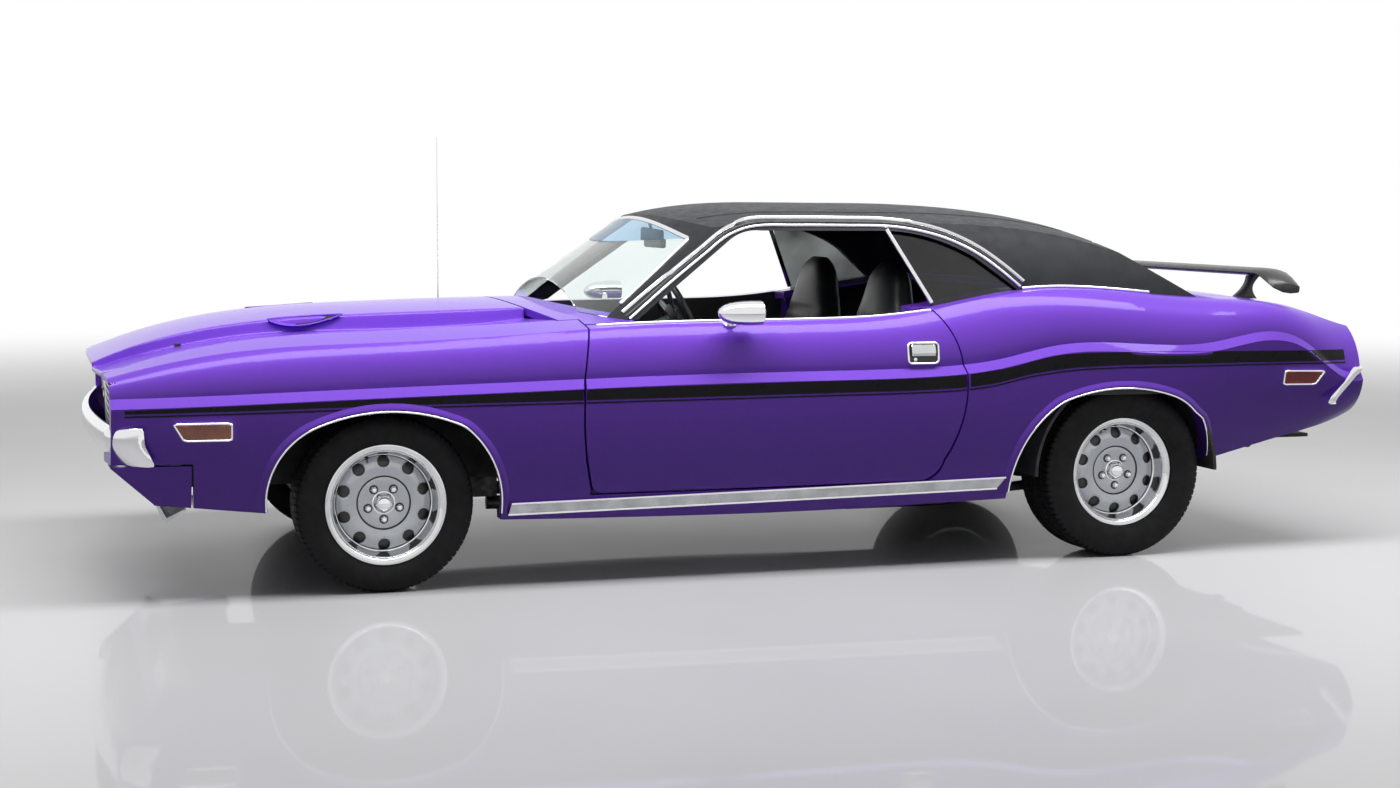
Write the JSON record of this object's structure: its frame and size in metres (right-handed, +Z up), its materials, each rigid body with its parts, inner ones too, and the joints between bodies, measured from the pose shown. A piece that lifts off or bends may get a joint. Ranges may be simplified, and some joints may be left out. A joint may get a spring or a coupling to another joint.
{
  "type": "two-door muscle car",
  "caption": "Low two-door hardtop with long hood, short deck, rear wing, working doors, hood, deck lid, steering and wheels.",
  "frame": {"origin": "on the ground under the centre of the overall box", "axes": "+X to the rear, +Y to the car's right, +Z up"},
  "size_m": [4.8598, 2.0774, 1.5993],
  "materials": {
    "paint": "gloss metallic",
    "dark": "satin black",
    "silver_trim": "satin",
    "underbody": "matte",
    "vinyl": "grained",
    "glass": "clear",
    "chrome": "polished",
    "lamp": "clear lens",
    "red_lens": "gloss",
    "iron": "rough",
    "rubber": "matte",
    "interior": "satin",
    "rim": "silver paint",
    "tyre": "matte"
  },
  "bodies": {
    "body": {"front_fender_left": "paint", "front_fender_right": "paint", "quarter_panel_left": "paint", "quarter_panel_right": "paint", "tail_panel": "dark", "front_valance": "silver_trim", "cowl": "paint", "rockers": "paint", "floor_pan": "underbody", "wheelhouses": "underbody", "rear_shelf": "paint", "roof": "vinyl", "windshield": "glass", "rear_window": "glass", "quarter_windows": "glass", "front_bumper": "chrome", "rear_bumper": "chrome", "grille": "dark", "headlights": "lamp", "tail_lights": "red_lens", "side_markers": "red_lens", "front_suspension": "iron", "rear_axle": "iron", "leaf_springs": "iron", "aprons": "underbody", "radiator_support": "underbody", "rest_pads": "rubber", "engine": "iron", "dashboard": "interior", "steering_column": "interior", "front_seats": "interior", "seat_bases": "underbody", "rear_seat": "interior", "fuel_tank": "underbody", "exhaust": "iron", "antenna": "chrome"},
    "door_left": {"door_left": "paint", "mirror_left": "chrome"},
    "door_right": {"door_right": "paint", "mirror_right": "chrome"},
    "hood": {"hood": "paint"},
    "deck_lid": {"deck_lid": "paint", "spoiler": "dark"},
    "steering_wheel": {"steering_wheel": "interior"},
    "knuckle_left": {"knuckle_left": "iron"},
    "knuckle_right": {"knuckle_right": "iron"},
    "wheel_front_left": {"tyre_front_left": "tyre", "rim_front_left": "rim"},
    "wheel_front_right": {"tyre_front_right": "tyre", "rim_front_right": "rim"},
    "wheel_rear_left": {"tyre_rear_left": "tyre", "rim_rear_left": "rim"},
    "wheel_rear_right": {"tyre_rear_right": "tyre", "rim_rear_right": "rim"}
  },
  "joints": [
    {"name": "door_left_hinge", "type": "hinge", "parent": "body", "child": "door_left", "pos_m": [-0.718, -0.9245, 0.65], "axis": [0, 0, -1], "range_deg": [0, 65]},
    {"name": "door_right_hinge", "type": "hinge", "parent": "body", "child": "door_right", "pos_m": [-0.718, 0.9245, 0.65], "axis": [0, 0, 1], "range_deg": [0, 65]},
    {"name": "hood_hinge", "type": "hinge", "parent": "body", "child": "hood", "pos_m": [-0.8135, 0, 0.972], "axis": [0, 1, 0], "range_deg": [0, 50]},
    {"name": "deck_lid_hinge", "type": "hinge", "parent": "body", "child": "deck_lid", "pos_m": [1.733, 0, 1.001], "axis": [0, -1, 0], "range_deg": [0, 60]},
    {"name": "steer_left", "type": "hinge", "parent": "body", "child": "knuckle_left", "pos_m": [-1.451, -0.672, 0.305], "axis": [0, 0, 1], "range_deg": [-28, 28]},
    {"name": "steer_right", "type": "hinge", "parent": "body", "child": "knuckle_right", "pos_m": [-1.451, 0.672, 0.305], "axis": [0, 0, 1], "range_deg": [-28, 28]},
    {"name": "steering_wheel_turn", "type": "hinge", "parent": "body", "child": "steering_wheel", "pos_m": [-0.276, -0.395, 0.905], "axis": [0.9135, 0, 0.4067], "range_deg": [-450, 450]},
    {"name": "spin_front_left", "type": "hinge", "parent": "knuckle_left", "child": "wheel_front_left", "pos_m": [-1.451, -0.758, 0.305], "axis": [0, 1, 0], "continuous": true},
    {"name": "spin_front_right", "type": "hinge", "parent": "knuckle_right", "child": "wheel_front_right", "pos_m": [-1.451, 0.758, 0.305], "axis": [0, 1, 0], "continuous": true},
    {"name": "spin_rear_left", "type": "hinge", "parent": "body", "child": "wheel_rear_left", "pos_m": [1.343, -0.771, 0.322], "axis": [0, 1, 0], "continuous": true},
    {"name": "spin_rear_right", "type": "hinge", "parent": "body", "child": "wheel_rear_right", "pos_m": [1.343, 0.771, 0.322], "axis": [0, 1, 0], "continuous": true}
  ],
  "couplings": [
    {"joint": "steer_right", "follows": "steer_left", "ratio": 1},
    {"joint": "steering_wheel_turn", "follows": "steer_left", "ratio": 16}
  ]
}
